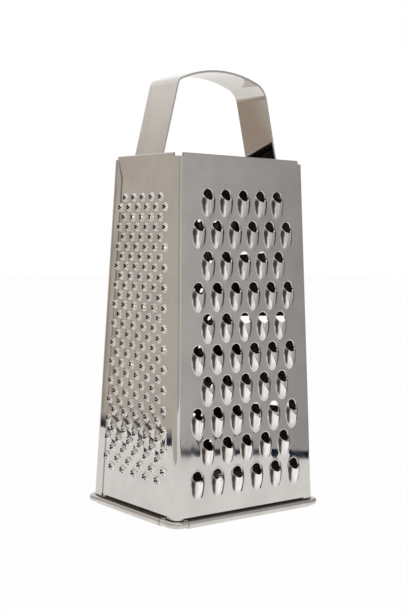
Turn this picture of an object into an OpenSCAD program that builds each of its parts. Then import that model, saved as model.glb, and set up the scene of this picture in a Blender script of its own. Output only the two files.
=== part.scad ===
// Four-sided box grater in thin polished sheet steel, standing on its rim.
// The floor is z = 0 and the body stands centred on the origin, with its coarse face toward -Y.
// The fine face is toward -X, the small drops are at the back and the slicing slots toward +X.

/* [Body] */
// Height of the body, from the floor to the top of its hems
body_h = 193.1; // [170:0.1:230]
// Width of the coarse face at its foot, over the sheet
base_w = 96.7; // [88:0.1:115]
// Depth of the fine face at its foot, over the sheet
base_d = 77.9; // [70:0.1:95]
// Width of the coarse face at its top
top_w = 87.1; // [76:0.1:100]
// Depth of the fine face at its top
top_d = 58.3; // [50:0.1:70]
// Thickness of the sheet
sheet_t = 0.5; // [0.4:0.05:0.7]
// Outer radius of the four upright bends
bend_r = 3.5; // [2.5:0.1:5]

/* [Side seams] */
// Width of the flange that laps over the neighbouring face
flange_w = 5.5; // [4:0.1:8]
// Length over which the flange widens from its top end
flange_taper = 10; // [5:0.5:20]
// Width of the flange at its top end
flange_top_w = 1; // [0.5:0.1:3]
// Gap between the two lapped sheets
lap_gap = 0.06; // [0.05:0.01:0.2]

/* [Hems at the top edge] */
// Length of the hem's inner leaf
hem_h = 5; // [3.5:0.1:8]
// Width of the slot between the hem's two layers
hem_gap = 0.2; // [0.15:0.01:0.4]
// Distance from a body corner to the end of a hem
hem_inset = 3.8; // [3:0.1:8]
// How far the bends end below the top of the hems
corner_drop = 2; // [1.5:0.1:3]

/* [Rolled rim] */
// Diameter of the wire in the rim
wire_d = 3.5; // [2.5:0.1:4.5]
// Play between the wire and the rolled sheet round it
wire_play = 0.06; // [0.05:0.01:0.2]
// Angle at which the roll ends, over the wire and back toward the wall
roll_end = 135; // [100:1:150]
// Depth of the flat that is pressed into the underside of the rim
foot_flat = 0.12; // [0.05:0.01:0.2]
// Bare wire past a bend, before the roll of the coarse or the back face starts
wide_roll_gap = 2.4; // [1:0.1:6]
// Space between a flange and the roll that starts beside it
side_roll_gap = 1; // [0.5:0.1:4]

/* [Handle] */
// Height of the whole grater, to the top of the handle
overall_h = 240.3; // [225:0.1:290]
// Width of the strap
strap_w = 25.5; // [18:0.1:32]
// Thickness of the strap
strap_t = 1.1; // [0.8:0.05:1.6]
// How far the strap sits behind the middle of the body
strap_shift = 1.3; // [0:0.1:3]
// Lean of the strap's legs toward each other
strap_lean = 13.65; // [8:0.05:18]
// Radius of the crown
crown_r = 70; // [58:0.5:120]
// Radius of the strap's left shoulder
left_shoulder_r = 5; // [3:0.1:12]
// Radius of the strap's right shoulder
right_shoulder_r = 12; // [6:0.1:18]
// Radius of the slight bend where a leg meets the wall
foot_bend_r = 4; // [2:0.1:10]
// Depth below the hems at which a leg meets the wall
strap_meet = 12.5; // [8:0.1:16]
// Depth below the hems at which the strap ends
strap_reach = 21; // [18:0.1:28]
// Diameter of the spot welds that hold the strap
weld_d = 3.4; // [2:0.1:5]
// Distance between the two spot welds of a leg
weld_pitch = 14; // [8:0.1:18]
// How far a leg's welds lie behind the strap's middle
weld_shift = 2.5; // [0:0.1:3]
// Depth of a spot weld's mark in the outside of the wall
weld_mark = 0.15; // [0.05:0.01:0.2]

/* [Coarse face] */
// Gap from the top of the hems to the openings of the first row
coarse_top_gap = 21; // [18:0.1:40]
// Lowest height of a row of openings
coarse_foot_gap = 24; // [20:0.1:60]
// Distance between rows
coarse_row = 16.31; // [15:0.01:24]
// Openings in the first row; every other row has one more
coarse_columns = 5; // [3:1:6]
// Diameter of the openings
coarse_hole_d = 6.5; // [4:0.1:7.5]
// Width of a drop where it rises from the sheet
coarse_drop_w = 8.5; // [6:0.1:9.5]
// Height of a drop over the sheet
coarse_drop_h = 2.3; // [1.5:0.1:3]
// Length of a drop below its cutting edge
coarse_drop_l = 9.2; // [7:0.1:10]

/* [Fine face] */
// Gap from the top of the hems to the first row
fine_top_gap = 22.8; // [18:0.1:40]
// Lowest height of a row
fine_foot_gap = 21; // [16:0.1:60]
// Distance between rows
fine_row = 5.28; // [4.8:0.01:9]
// Punched stars in the first row; every other row has one more
fine_columns = 5; // [3:1:6]
// Width of a star's square opening, over its corners
fine_hole_w = 3.6; // [2.6:0.1:4]
// Height of the torn teeth over the sheet
fine_tooth_h = 1.7; // [1:0.1:2.4]
// Reach of a star's torn teeth, from its middle
fine_tooth_w = 2.7; // [2:0.1:3.5]

/* [Back face] */
// Gap from the top of the hems to the first row
small_top_gap = 25; // [20:0.1:40]
// Lowest height of a row
small_foot_gap = 25; // [20:0.1:60]
// Distance between rows
small_row = 8.36; // [8:0.01:14]
// Openings in the first row; every other row has one more
small_columns = 10; // [6:1:11]
// Diameter of the openings
small_hole_d = 2.8; // [2:0.1:3.4]
// Width of a small drop where it rises from the sheet
small_drop_w = 4; // [3:0.1:4.6]
// Height of a small drop over the sheet
small_drop_h = 1.2; // [0.8:0.1:1.6]
// Length of a small drop below its cutting edge
small_drop_l = 4.4; // [3:0.1:5]

/* [Slicing face] */
// Length of a slot
slot_l = 44; // [30:0.5:46]
// Height of a slot's opening
slot_h = 4.5; // [3:0.1:6]
// Slope of the slots, higher toward the coarse face
slot_slant = 4; // [0:0.5:6]
// Height of a blade over the sheet
blade_h = 2.4; // [1.5:0.1:3]
// Length of the sheet's rise up to the blade's edge
blade_rise = 9; // [6:0.1:14]

/* [Hidden] */
$fn = 48;
// Heights of the three slots and spans of the rows, foot to top, as shares of the face
slot_height_shares = [0.255, 0.505, 0.72];
coarse_span_shares = [0.712, 0.679];
fine_span_shares = [0.716, 0.666];
small_span_shares = [0.75, 0.66];
// Reach of a cut past the face that it starts from
overrun = 5;
// How far a hidden end lies inside the sheet, so that no two faces meet flush
nest = 0.03;
// How far a bent stretch turns on into the straight one that it joins
nest_turn = 2;
// Flats across each upright bend
bend_steps = 12;
// Turn of the strap between two points of its outline
strap_step = 5;
// Largest share of the handle's rise over the wall that a shoulder's radius takes
shoulder_share = 0.5;
wire_r = wire_d / 2;
roll_in_r = wire_r + wire_play + nest;
roll_out_r = roll_in_r + sheet_t - 2 * nest;
roll_out = wire_r + wire_play;
wall_z = roll_out_r - foot_flat;
wall_top = body_h - corner_drop;
rim_clear_z = wall_z + wire_r + 2 * wire_play;
wide_roll_end = bend_r + wide_roll_gap;
side_roll_end = bend_r + flange_w + side_roll_gap;
hem_t = sheet_t + 2 * nest;
hem_r = hem_gap / 2 + hem_t;
wide_tilt = atan((base_d - top_d) / 2 / (body_h - wall_z));
side_tilt = atan((base_w - top_w) / 2 / (body_h - wall_z));
long = overall_h;

// Width and depth over the sheet at a height, and a share's value between foot and top
function rise(z) = (z - wall_z) / (body_h - wall_z);
function width_at(z) = base_w + (top_w - base_w) * rise(z);
function depth_at(z) = base_d + (top_d - base_d) * rise(z);
function between(shares, z) = shares[0] + (shares[1] - shares[0]) * rise(z);

// Radius of an arc with a given half chord and height
function arc_r(half, height) = (half * half + height * height) / (2 * height);

// Rounded outline at a height, as points
function outline(x0, x1, y0, y1, r, z) = [
    for (c = [[x1 - r, y1 - r, 0], [x0 + r, y1 - r, 90], [x0 + r, y0 + r, 180], [x1 - r, y0 + r, 270]])
        for (i = [0 : bend_steps])
            let (a = c[2] + 90 * i / bend_steps)
                [c[0] + r * cos(a), c[1] + r * sin(a), z]
];

// Solid between two outlines with as many points each
module loft(low, high) {
    n = len(low);
    sides = [for (i = [0 : n - 1]) [i, n + i, n + (i + 1) % n, (i + 1) % n]];
    polyhedron(concat(low, high), concat([[for (i = [0 : n - 1]) i], [for (i = [n - 1 : -1 : 0]) n + i]], sides));
}

// Tapered block whose left side stands out by left, and whose back and right sides stand in by inside
module body_block(left, inside, front, r, z0, z1) {
    function ring(z) = outline(
        -width_at(z) / 2 - left,
        width_at(z) / 2 - inside,
        -depth_at(z) / 2 - front,
        depth_at(z) / 2 - inside,
        r,
        z
    );
    loft(ring(z0), ring(z1));
}

// Frame of a face: x across it, y up along it and z out of it, from the foot's middle line
module on_face(turn, half, tilt) {
    rotate([0, 0, turn]) translate([0, -half, wall_z]) rotate([90 - tilt, 0, 0]) children();
}

module on_front() {
    on_face(0, base_d / 2, wide_tilt) children();
}

module on_left() {
    on_face(-90, base_w / 2, side_tilt) children();
}

module on_back() {
    on_face(180, base_d / 2, wide_tilt) children();
}

module on_right() {
    on_face(90, base_w / 2, side_tilt) children();
}

// Places of a staggered pattern, as across and height
function places(z_top, z_low, row, columns, shares, foot, top) = [
    for (i = [0 : floor((z_top - z_low) / row)])
        let (z = z_top - i * row, more = i % 2)
            let (pitch = between(shares, z) * (foot + (top - foot) * rise(z)) / columns)
                for (j = [0 : columns - 1 + more])
                    [(j - (columns - 1 + more) / 2) * pitch, z]
];

module at_places(list, tilt) {
    for (p = list) translate([p[0], (p[1] - wall_z) / cos(tilt), 0]) children();
}

coarse_places = places(
    body_h - coarse_top_gap, coarse_foot_gap, coarse_row, coarse_columns, coarse_span_shares, base_w, top_w
);
fine_places = places(
    body_h - fine_top_gap, fine_foot_gap, fine_row, fine_columns, fine_span_shares, base_d, top_d
);
small_places = places(
    body_h - small_top_gap, small_foot_gap, small_row, small_columns, small_span_shares, base_w, top_w
);

// A drop's solid, turned about an axis that lies along the drop: a ball at the cutting edge, then the
// cone that meets the sheet at the drop's end
module drop_form(w, h, l, inset) {
    outer_r = arc_r(w / 2, h);
    deep = outer_r - h;
    slope = asin(outer_r / norm([l, deep])) - atan(deep / l);
    ball_r = outer_r - inset;
    end = min(l + sheet_t, ball_r / sin(slope));
    end_r = ball_r / cos(slope) - end * tan(slope);
    translate([0, 0, -deep])
        rotate([90, 0, 0])
            rotate_extrude()
                intersection() {
                    union() {
                        circle(ball_r);
                        polygon([[0, 0], ball_r * [cos(slope), sin(slope)], [end_r, end], [0, end]]);
                    }
                    translate([0, -ball_r]) square([ball_r, ball_r + end]);
                }
}

// Slab from the middle of the sheet outward, over a whole face
module outer_half(h) {
    translate([-base_w, 0, -sheet_t / 2]) cube([2 * base_w, long, h + sheet_t]);
}

// Row of raised drops, of which the openings are at the given places
module drops(list, tilt, hole_d, w, h, l) {
    intersection() {
        at_places(list, tilt) translate([0, -hole_d / 2, 0]) drop_form(w, h, l, 0);
        outer_half(h);
    }
}

module drop_cuts(list, tilt, hole_d, w, h, l) {
    at_places(list, tilt) {
        translate([0, -hole_d / 2, 0]) drop_form(w, h, l, sheet_t);
        translate([0, 0, -overrun]) cylinder(h = 2 * overrun, d = hole_d);
    }
}

// Four torn teeth round a square opening that stands on its corner: a pyramid that the opening splits
module star_teeth() {
    h = (fine_tooth_h + sheet_t / 2) / (1 - fine_hole_w / sqrt(8) / fine_tooth_w);
    rotate([0, 0, 45]) translate([0, 0, -sheet_t / 2]) cylinder(h = h, r1 = fine_tooth_w, r2 = 0, $fn = 4);
}

module star_cut() {
    side = fine_hole_w / sqrt(2);
    rotate([0, 0, 45]) translate([-side / 2, -side / 2, -overrun]) cube([side, side, 2 * overrun]);
}

// Raised blade below a slot: an arc across the slot, swept round a deep axis
module blade_form(inset) {
    across_r = arc_r(slot_l / 2, blade_h);
    rise_r = arc_r(blade_rise, blade_h);
    turn = asin(slot_l / 2 / across_r);
    translate([0, 0, blade_h - across_r])
        rotate([-90, -90, 0])
            rotate([0, 0, -turn])
                rotate_extrude(angle = 2 * turn)
                    translate([across_r - rise_r, 0])
                        intersection() {
                            circle(rise_r - inset);
                            translate([0, -rise_r]) square([rise_r, rise_r]);
                        }
}

module at_slots() {
    for (share = slot_height_shares)
        translate([flange_w / 2, share * body_h, 0]) rotate([0, 0, -slot_slant]) children();
}

module slot_cut() {
    translate([-slot_l / 2, 0, -overrun]) cube([slot_l, slot_h, 2 * overrun]);
}

// Section of a hem: x out of the sheet's outer face, y up from the top of the hem
module hem_section() {
    translate([-sheet_t - nest - hem_gap / 2, -hem_r]) {
        difference() {
            circle(hem_r);
            circle(hem_gap / 2);
            translate([-2 * hem_r, -2 * hem_r]) square([4 * hem_r, 2 * hem_r]);
        }
        translate([hem_gap / 2, -2 * corner_drop]) square([hem_t, 2 * corner_drop]);
        translate([-hem_r, hem_r - hem_h]) square([hem_t, hem_h - hem_r]);
    }
}

// Section of the rim: the sheet rolled outward and up round the wire, flat underneath
module roll_section() {
    translate([roll_out, wall_z])
        difference() {
            circle(roll_out_r);
            circle(roll_in_r);
            polygon([
                [0, 0],
                long * [cos(roll_end), sin(roll_end)],
                long * [-1, 1],
                long * [cos(180 - nest_turn), sin(180 - nest_turn)]
            ]);
            translate([-long, -long - wall_z]) square([2 * long, long]);
        }
}

// A section carried along the back face or the right face
module along_back(half, end, tilt, length, z) {
    translate([0, half, z])
        rotate([90, 0, 90])
            linear_extrude(length - 2 * end, center = true)
                rotate(tilt)
                    children();
}

module along_right(half, end, tilt, length, z) {
    translate([half, 0, z])
        rotate([90, 0, 0])
            linear_extrude(length - 2 * end, center = true)
                rotate(tilt)
                    children();
}

// What is cut off the free edge of the right face, and off the flange on the left
module free_edges() {
    low = -overrun;
    high = body_h + overrun;
    seam_z = wall_top - flange_taper;
    function edge(z, w) = depth_at(z) / 2 - bend_r - w;
    rotate([90, 0, 90])
        linear_extrude(long)
            polygon([[-long, low], [-edge(low, lap_gap), low], [-edge(high, lap_gap), high], [-long, high]]);
    rotate([90, 0, -90])
        linear_extrude(long)
            polygon([
                [long, low],
                [-edge(low, flange_w), low],
                [-edge(seam_z, flange_w), seam_z],
                [-edge(wall_top, flange_top_w), wall_top],
                [-edge(wall_top, flange_top_w), high],
                [long, high]
            ]);
}

// Corners of the foot, where the sheet ends above the bare wire
module foot_corners() {
    for (x = [-1, 1])
        for (y = [-1, 1])
            translate([
                x * (base_w / 2 - wide_roll_end + nest + long / 2),
                y * (base_d / 2 - side_roll_end + nest + long / 2),
                rim_clear_z - long / 2
            ])
                cube(long, center = true);
}

// Right face, back face and the flange past them, bent from one blank, with hems and rolled rim
module blank() {
    foot = wall_z - sheet_t / 2;
    difference() {
        body_block(lap_gap + sheet_t, 0, 0, bend_r, foot, wall_top);
        body_block(lap_gap, sheet_t, overrun, bend_r - sheet_t, foot - overrun, wall_top + overrun);
        free_edges();
        foot_corners();
    }
    along_back(top_d / 2, hem_inset, wide_tilt, top_w, body_h) hem_section();
    along_right(top_w / 2, hem_inset, side_tilt, top_d, body_h) hem_section();
    along_back(base_d / 2, wide_roll_end, 0, base_w, 0) roll_section();
    along_right(base_w / 2, side_roll_end, 0, base_d, 0) roll_section();
}

// Marks that the spot welds leave in the outside of a side wall
module weld_marks(side) {
    for (i = [-1, 1])
        translate([
            side * (strap_shift + weld_shift + i * weld_pitch / 2),
            (body_h - strap_meet - weld_d / 2 - wall_z) / cos(side_tilt),
            -weld_mark
        ])
            cylinder(h = overrun, d = weld_d);
}

module front_left_shell() {
    color([0.72, 0.70, 0.67]) {
        difference() {
            union() {
                rotate([0, 0, 180]) blank();
                on_left() at_places(fine_places, side_tilt) star_teeth();
                on_front()
                    drops(coarse_places, wide_tilt, coarse_hole_d, coarse_drop_w, coarse_drop_h, coarse_drop_l);
            }
            on_front()
                drop_cuts(coarse_places, wide_tilt, coarse_hole_d, coarse_drop_w, coarse_drop_h, coarse_drop_l);
            on_left() at_places(fine_places, side_tilt) star_cut();
            on_left() weld_marks(-1);
        }
    }
}

module back_right_shell() {
    color([0.66, 0.65, 0.64])
        difference() {
            union() {
                blank();
                on_back() drops(small_places, wide_tilt, small_hole_d, small_drop_w, small_drop_h, small_drop_l);
                on_right()
                    intersection() {
                        at_slots() blade_form(0);
                        outer_half(blade_h);
                    }
            }
            on_back() drop_cuts(small_places, wide_tilt, small_hole_d, small_drop_w, small_drop_h, small_drop_l);
            on_right()
                at_slots() {
                    blade_form(sheet_t);
                    slot_cut();
                }
            on_right() weld_marks(1);
        }
}

// Wire ring that the rim is rolled round, bare at the four corners
module base_wire() {
    x = base_w / 2 - bend_r;
    y = base_d / 2 - bend_r;
    r = bend_r + roll_out;
    color([0.60, 0.59, 0.58])
        translate([0, 0, wall_z]) {
            for (s = [-1, 1]) {
                translate([-x, s * (y + r), 0]) rotate([0, 90, 0]) cylinder(h = 2 * x, r = wire_r + nest / 2);
                translate([s * (x + r), y, 0]) rotate([90, 0, 0]) cylinder(h = 2 * y, r = wire_r + nest / 2);
            }
            for (c = [[x, y, 0], [-x, y, 90], [-x, -y, 180], [x, -y, 270]])
                translate([c[0], c[1], 0])
                    rotate([0, 0, c[2] - nest_turn])
                        rotate_extrude(angle = 90 + 2 * nest_turn)
                            translate([r, 0])
                                circle(wire_r);
        }
}

// Unit normal at an angle, and the points of one arc of the strap at its outer or inner radius
function unit(a) = [cos(a), sin(a)];
function arc_points(c, r, a0, a1) =
    let (n = max(1, ceil(abs(a1 - a0) / strap_step)))
        [for (i = [0 : n]) c + r * unit(a0 + (a1 - a0) * i / n)];

// Strap bent from a flat bar: along the walls inside, up, over the shoulders and the crown
module handle_strap() {
    meet_z = body_h - strap_meet;
    end_z = body_h - strap_reach;
    wall_x = width_at(meet_z) / 2 - sheet_t - lap_gap;
    end_x = width_at(end_z) / 2 - sheet_t - lap_gap;
    crown_c = [0, overall_h - crown_r];
    function side_arcs(side, shoulder_r) =
        let (wall_a = 90 + side * (90 - side_tilt), leg_a = 90 + side * (90 - strap_lean))
            let (wall_n = unit(wall_a), leg_n = unit(leg_a), along = side * [leg_n[1], -leg_n[0]])
                let (meet = [-side * wall_x, meet_z], end = [-side * end_x, end_z])
                    let (off = leg_n * (meet - crown_c) - shoulder_r)
                        let (up = sqrt(pow(crown_r - shoulder_r, 2) - off * off))
                            let (c = crown_c + off * leg_n + up * along)
                                let (crown_a = atan2(c[1] - crown_c[1], c[0] - crown_c[0]))
                                    let (foot_c = meet - foot_bend_r * (wall_n + leg_n) / (1 + wall_n * leg_n))
                                        [
                                            [end - foot_bend_r * wall_n, foot_bend_r, wall_a, wall_a],
                                            [foot_c, foot_bend_r, wall_a, leg_a],
                                            [c, shoulder_r, leg_a, crown_a]
                                        ];
    shoulder_max = shoulder_share * (overall_h - meet_z);
    left = side_arcs(1, min(left_shoulder_r, shoulder_max));
    right = side_arcs(-1, min(right_shoulder_r, shoulder_max));
    crown = [crown_c, crown_r, left[2][3], right[2][3]];
    arcs = concat(left, [crown], [for (i = [2 : -1 : 0]) [right[i][0], right[i][1], right[i][3], right[i][2]]]);
    outer = [for (a = arcs) each arc_points(a[0], a[1], a[2], a[3])];
    inner = [for (a = arcs) each arc_points(a[0], a[1] - strap_t, a[2], a[3])];
    color([0.74, 0.72, 0.68])
        translate([0, strap_shift, 0])
            rotate([90, 0, 0])
                linear_extrude(strap_w, center = true)
                    polygon(concat(outer, [for (i = [len(inner) - 1 : -1 : 0]) inner[i]]));
}

front_left_shell();
back_right_shell();
base_wire();
handle_strap();
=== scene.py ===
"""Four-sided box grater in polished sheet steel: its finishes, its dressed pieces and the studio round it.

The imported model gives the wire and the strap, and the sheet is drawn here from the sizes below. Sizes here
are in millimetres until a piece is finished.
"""

import logging
import math
from collections.abc import Callable
from dataclasses import dataclass, field
from enum import Enum
from typing import Any

import bmesh
import bpy
from mathutils import Matrix, Vector


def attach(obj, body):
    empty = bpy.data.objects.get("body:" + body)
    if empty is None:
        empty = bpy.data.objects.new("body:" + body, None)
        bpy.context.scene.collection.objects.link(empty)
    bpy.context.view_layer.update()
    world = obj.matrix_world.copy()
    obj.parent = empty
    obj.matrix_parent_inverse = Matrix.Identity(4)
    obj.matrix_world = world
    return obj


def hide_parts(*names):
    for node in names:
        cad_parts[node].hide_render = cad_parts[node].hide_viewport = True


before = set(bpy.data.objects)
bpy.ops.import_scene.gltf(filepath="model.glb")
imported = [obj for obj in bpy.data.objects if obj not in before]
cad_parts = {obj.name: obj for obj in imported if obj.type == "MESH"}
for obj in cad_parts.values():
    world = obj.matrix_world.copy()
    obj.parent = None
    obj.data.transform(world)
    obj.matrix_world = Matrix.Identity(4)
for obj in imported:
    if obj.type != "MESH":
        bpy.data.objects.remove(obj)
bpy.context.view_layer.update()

Form = bmesh.types.BMesh
Point = bmesh.types.BMVert

MM = 0.001
# mesh attributes that say where the punch cut into the sheet, which is rougher there and painted darker as a
# painted dark reflection, and where it stretched it, which is painted lighter as a painted highlight
SHEARED_AND_SHADED = "sheared"
DRAWN_HIGHLIGHT = "drawn"
# how near a place has to be, in millimetres: to another point, to a line of the form, to a face
SAME, NEAR, ON_FACE = 0.002, 0.01, 0.02
# slack for a count that is worked out from decimal fractions
TINY = 1e-9
log = logging.getLogger("grater")


class Slot(Enum):
    """Material slots of the record. A node piece holds one, but its finish is given in this script."""

    SHELL = "shell_steel"
    WIRE = "wire_steel"
    STRAP = "strap_steel"


def linear(code: str) -> tuple[float, float, float, float]:
    """Turn an sRGB hex code into a linear colour.

    Args:
        code: Six hex digits with a leading hash.

    Returns:
        Red, green, blue and an alpha of one.
    """
    parts = [int(code[i : i + 2], 16) / 255 for i in (1, 3, 5)]
    flat = [c / 12.92 if c <= 0.04045 else ((c + 0.055) / 1.055) ** 2.4 for c in parts]
    return (flat[0], flat[1], flat[2], 1.0)


def add_node(
    tree: bpy.types.NodeTree, kind: str, links: dict[Any, Any] | None = None, **settings: Any
) -> Any:
    """Add a shader node, set it up and link what feeds it.

    Args:
        tree: Node tree that takes the node.
        kind: Blender's name of the node type.
        links: Input name or index to a value or to the output socket that feeds it.
        **settings: Properties of the node itself.

    Returns:
        The new node.
    """
    node = tree.nodes.new(kind)
    for name, value in settings.items():
        setattr(node, name, value)
    for name, value in (links or {}).items():
        if isinstance(value, bpy.types.NodeSocket):
            tree.links.new(value, node.inputs[name])
        else:
            node.inputs[name].default_value = value
    return node


def bare_tree(owner: bpy.types.Material | bpy.types.World) -> bpy.types.NodeTree:
    """Turn the nodes of a material or a world on, and clear away those that come with it.

    Args:
        owner: The material or the world.

    Returns:
        Its empty node tree.
    """
    owner.use_nodes = True
    owner.node_tree.nodes.clear()
    return owner.node_tree


def placed(name: str, data: bpy.types.ID) -> bpy.types.Object:
    """Put a mesh, a lamp or a camera into the scene.

    Args:
        name: Name of the object.
        data: What it shows.

    Returns:
        The new object.
    """
    thing = bpy.data.objects.new(name, data)
    bpy.context.scene.collection.objects.link(thing)
    return thing


@dataclass(frozen=True)
class StainlessSteel:
    """Stainless steel: a metal that is a little warm, rubbed and not quite flat.

    Sizes are in millimetres, because each pattern is scaled from a real one.
    """

    name: str
    colour: str
    rubbed_colour: str
    roughness: float
    rubbed_roughness: float
    wave_mm: float = 34.0
    wave_lift_mm: float = 0.08
    smear_mm: float = 22.0
    smear_range: tuple[float, float] = (0.42, 0.68)
    grain_mm: float = 0.9
    grain_lift_mm: float = 0.0007
    edge_colour: str = "#ffffff"
    flank_shade_colour: str = ""
    sheared_roughness: float = 0.3
    highlight_colour: str = ""
    streak_mm: float = 1.1
    streak_stretch: float = 0.04
    streak_range: tuple[float, float] = (0.38, 0.62)
    streak_least: float = 0.35

    def build(self) -> bpy.types.Material:
        """Make the material.

        Returns:
            A node material that reads Object coordinates.
        """
        material = bpy.data.materials.new(self.name)
        tree = bare_tree(material)
        place = add_node(tree, "ShaderNodeTexCoord").outputs["Object"]
        # long soft swells that rolled sheet keeps, which bend its reflections
        wave = {"Vector": place, "Scale": 1 / (self.wave_mm * MM), "Detail": 1.0, "Roughness": 0.4}
        swell = add_node(tree, "ShaderNodeTexNoise", wave)
        # faint smears where it was wiped and handled
        wipe = {"Vector": place, "Scale": 1 / (self.smear_mm * MM), "Detail": 5.0, "Roughness": 0.6}
        smear = add_node(tree, "ShaderNodeTexNoise", wipe)
        least, most = self.smear_range
        rubbed = add_node(
            tree, "ShaderNodeMapRange", {"Value": smear.outputs["Fac"], "From Min": least, "From Max": most}
        )
        # grain of the polish: the real one is too fine to show, so it is drawn as coarse as it has to be
        grit = {"Vector": place, "Scale": 1 / (self.grain_mm * MM), "Detail": 2.0}
        grain = add_node(tree, "ShaderNodeTexNoise", grit)
        colour = add_node(
            tree,
            "ShaderNodeMix",
            {0: rubbed.outputs[0], 6: linear(self.colour), 7: linear(self.rubbed_colour)},
            data_type="RGBA",
        )
        wear = {"Value": rubbed.outputs[0], "To Min": self.roughness, "To Max": self.rubbed_roughness}
        rough = add_node(tree, "ShaderNodeMapRange", wear)
        shade, dullness = colour.outputs[2], rough.outputs[0]
        if self.highlight_colour:
            # where the punch stretched the sheet it is painted lighter in upright streaks, as a painted
            # highlight
            upright = (1.0, 1.0, self.streak_stretch)
            stretched = add_node(tree, "ShaderNodeVectorMath", {0: place, 1: upright}, operation="MULTIPLY")
            pull = {"Vector": stretched.outputs[0], "Scale": 1 / (self.streak_mm * MM), "Detail": 1.0}
            streak = add_node(tree, "ShaderNodeTexNoise", pull)
            least, most = self.streak_range
            spread = {"From Min": least, "From Max": most, "To Min": self.streak_least}
            share = add_node(tree, "ShaderNodeMapRange", {"Value": streak.outputs["Fac"], **spread})
            mask = add_node(tree, "ShaderNodeAttribute", attribute_name=DRAWN_HIGHLIGHT).outputs["Fac"]
            amount = add_node(tree, "ShaderNodeMath", {0: mask, 1: share.outputs[0]}, operation="MULTIPLY")
            painted_highlight = add_node(
                tree,
                "ShaderNodeMix",
                {0: amount.outputs[0], 6: shade, 7: linear(self.highlight_colour)},
                data_type="RGBA",
            )
            shade = painted_highlight.outputs[2]
        if self.flank_shade_colour:
            # the steep flanks beside the cutting edge are rougher where the punch cut them, and painted
            # darker as a painted dark reflection
            mask = add_node(tree, "ShaderNodeAttribute", attribute_name=SHEARED_AND_SHADED).outputs["Fac"]
            scored_and_shaded = add_node(
                tree, "ShaderNodeMix", {0: mask, 6: shade, 7: linear(self.flank_shade_colour)}, data_type="RGBA"
            )
            duller = add_node(tree, "ShaderNodeMix", {0: mask, 2: dullness, 3: self.sheared_roughness})
            shade, dullness = scored_and_shaded.outputs[2], duller.outputs[0]
        roll = {"Height": swell.outputs["Fac"], "Distance": self.wave_lift_mm * MM, "Strength": 1.0}
        waves = add_node(tree, "ShaderNodeBump", roll)
        relief = add_node(
            tree,
            "ShaderNodeBump",
            {
                "Height": grain.outputs["Fac"],
                "Distance": self.grain_lift_mm * MM,
                "Strength": 1.0,
                "Normal": waves.outputs["Normal"],
            },
        )
        shader = add_node(
            tree,
            "ShaderNodeBsdfPrincipled",
            {
                "Base Color": shade,
                "Metallic": 1.0,
                "Roughness": dullness,
                "Specular Tint": linear(self.edge_colour),
                "Normal": relief.outputs["Normal"],
            },
        )
        add_node(tree, "ShaderNodeOutputMaterial", {"Surface": shader.outputs[0]})
        return material


@dataclass(frozen=True)
class Body:
    """Sizes of the tapered sheet body, in millimetres. Pairs give the width first, then the depth."""

    height: float = 193.1
    foot: tuple[float, float] = (96.7, 77.9)
    top: tuple[float, float] = (87.1, 58.3)
    sheet: float = 0.5
    bend: float = 3.5
    wall_foot: float = 2.16
    wall_top: float = 191.1
    lap: float = 0.56
    lap_gap: float = 0.06
    flange: float = 5.5
    flange_top: float = 1.0
    flange_taper: float = 10.0
    hem: float = 5.0
    hem_radius: float = 0.62
    hem_play: float = 0.04
    hem_inset: float = 3.8
    corner_foot: float = 4.03
    roll_radius: float = 1.79
    roll_turn_deg: float = 300.0
    roll_inset: tuple[float, float] = (5.9, 10.0)

    def rise(self, z: float) -> float:
        """Share of the way from the foot to the top that a height lies at."""
        return (z - self.wall_foot) / (self.height - self.wall_foot)

    def over(self, side: int, z: float) -> float:
        """Width (0) or depth (1) over the sheet at a height."""
        return self.foot[side] + (self.top[side] - self.foot[side]) * self.rise(z)

    def tilt(self, side: int) -> float:
        """Lean of the two faces that the width (0) or the depth (1) lies between."""
        return math.atan((self.foot[side] - self.top[side]) / 2 / (self.height - self.wall_foot))

    def face(self, turn_deg: float, side: int) -> Matrix:
        """Frame of a face: x across it, y up along it, z out of it, from the middle of its foot.

        Args:
            turn_deg: Turn of the face about the upright, from the front.
            side: Which size lies behind it, width (0) or depth (1).

        Returns:
            The frame, in millimetres.
        """
        return (
            Matrix.Rotation(math.radians(turn_deg), 4, "Z")
            @ Matrix.Translation((0, -self.foot[side] / 2, self.wall_foot))
            @ Matrix.Rotation(math.pi / 2 - self.tilt(side), 4, "X")
        )

    def along(self, z: float, side: int) -> float:
        """Way up along a face to a height."""
        return (z - self.wall_foot) / math.cos(self.tilt(side))


BODY = Body()


def arc_radius(half: float, height: float) -> float:
    """Radius of an arc with a given half chord and height."""
    return (half * half + height * height) / (2 * height)


def eased(share: float) -> float:
    """Smooth step from 0 to 1."""
    share = min(max(share, 0.0), 1.0)
    return share * share * (3 - 2 * share)


def dome(radius: float, offset: float) -> float:
    """Height of a circle's arc over its middle, carried on below it past the circle's side."""
    inside = radius * radius - offset * offset
    return math.copysign(math.sqrt(abs(inside)), inside)


def soft_rise(height: float, fillet: float) -> float:
    """Height over the sheet with a fillet at its base, never below the sheet."""
    return (height + math.sqrt(height * height + fillet * fillet)) / 2


def written(form: Form, name: str) -> bpy.types.Mesh:
    """Write a form out as a mesh and free it.

    Args:
        form: The form, which is gone afterwards.
        name: Name of the mesh.

    Returns:
        The mesh.
    """
    mesh = bpy.data.meshes.new(name)
    form.to_mesh(mesh)
    form.free()
    return mesh


def new_verts(geom: list[Any]) -> list[Point]:
    """Points among what an operator made."""
    return [part for part in geom if isinstance(part, Point)]


def next_ring(form: Form, ring: dict[Point, Any]) -> dict[Point, Any]:
    """Extrude a closed ring of points once, and hand each old point's value on to its new one.

    Args:
        form: Form that holds the ring.
        ring: Points of the ring, each with a value of its own.

    Returns:
        The new ring's points with the same values.
    """
    loop = [e for e in form.edges if len(e.link_faces) < 2 and e.verts[0] in ring and e.verts[1] in ring]
    made = new_verts(bmesh.ops.extrude_edge_only(form, edges=loop)["geom"])
    return {v: next(ring[e.other_vert(v)] for e in v.link_edges if e.other_vert(v) in ring) for v in made}


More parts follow.
